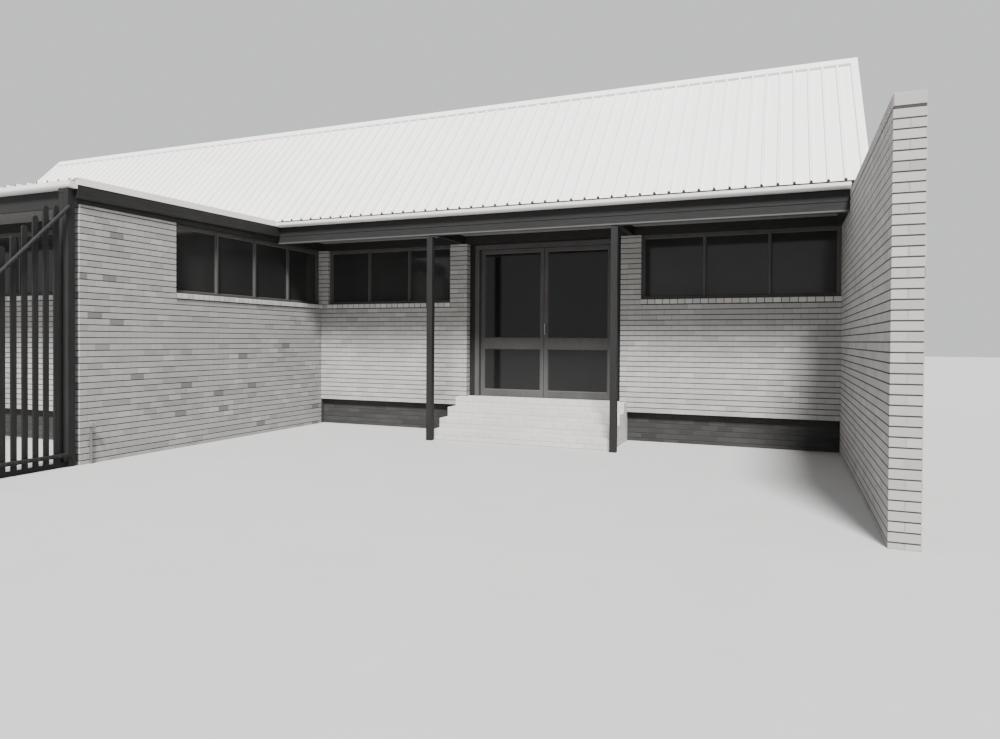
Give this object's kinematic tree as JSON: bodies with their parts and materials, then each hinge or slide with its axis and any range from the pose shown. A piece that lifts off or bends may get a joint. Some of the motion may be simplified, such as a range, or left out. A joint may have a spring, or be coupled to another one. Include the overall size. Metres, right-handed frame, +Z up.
{
  "type": "school building",
  "caption": "Single-storey brick school block on an L plan round an entrance court, with steep ribbed roof slopes, posted eaves, a slatted screen and two glazed door leaves.",
  "frame": {"origin": "on the ground at the middle of the plan", "axes": "+X to the right along the entrance front, +Y back into the building, +Z up"},
  "size_m": [18.199, 17.405, 6.2242],
  "materials": {
    "brickwork": "matt light brick, mottled, dark raked joints",
    "edge_brick": "matt pale brick laid on edge",
    "dark_base": "matt dark painted masonry",
    "floor_slab": "matt concrete",
    "dark_timber": "matt dark stained timber",
    "white_sheet": "satin white ribbed sheet",
    "pale_trim": "satin pale paint",
    "door_paint": "satin dark paint",
    "dark_glass": "clear glass over a dark room",
    "bare_metal": "satin",
    "tap_metal": "dull"
  },
  "bodies": {
    "building": {"front_wall_left": "brickwork", "front_wall_right": "brickwork", "wing_court_wall": "brickwork", "wing_front_wall": "brickwork", "wing_end_wall": "brickwork", "left_gable_wall": "brickwork", "right_gable_wall": "brickwork", "court_side_wall": "brickwork", "rear_wall": "brickwork", "base_walls": "dark_base", "window_sills": "edge_brick", "main_floor": "floor_slab", "wing_floor": "floor_slab", "entrance_step_1": "edge_brick", "entrance_step_2": "edge_brick", "entrance_step_3": "edge_brick", "entrance_step_4": "edge_brick", "eave_posts": "dark_timber", "head_beams": "dark_timber", "wing_side_beams": "dark_timber", "cross_beams": "dark_timber", "eave_beams": "dark_timber", "wing_curb": "dark_timber", "eave_strips": "pale_trim", "front_fascia": "dark_timber", "wing_fascia": "dark_timber", "rear_fascia": "dark_timber", "soffits": "pale_trim", "front_roof_slope": "white_sheet", "roof_deck": "white_sheet", "rear_roof_slope": "white_sheet", "wing_roof": "white_sheet", "roof_cappings": "white_sheet", "front_gutter": "pale_trim", "rear_gutter": "pale_trim", "wing_gutter": "pale_trim", "wing_downpipe": "dark_timber", "window_frames": "dark_timber", "front_window_glass": "dark_glass", "wing_window_glass": "dark_glass", "rear_window_glass": "dark_glass", "doorway_lining": "dark_timber", "door_frame": "door_paint", "door_hinges": "bare_metal", "screen_slats": "dark_timber", "screen_rails": "dark_timber", "garden_tap": "tap_metal"},
    "left_door": {"left_door_leaf": "door_paint", "left_door_glass": "dark_glass"},
    "right_door": {"right_door_leaf": "door_paint", "right_door_glass": "dark_glass", "right_door_handle": "bare_metal"}
  },
  "joints": [
    {"name": "left_door_hinge", "type": "hinge", "parent": "building", "child": "left_door", "pos_m": [2.9355, -0.9445, 0.66], "axis": [0, 0, 1], "range_deg": [0, 90]},
    {"name": "right_door_hinge", "type": "hinge", "parent": "building", "child": "right_door", "pos_m": [5.3555, -0.9445, 0.66], "axis": [0, 0, -1], "range_deg": [0, 90]}
  ]
}
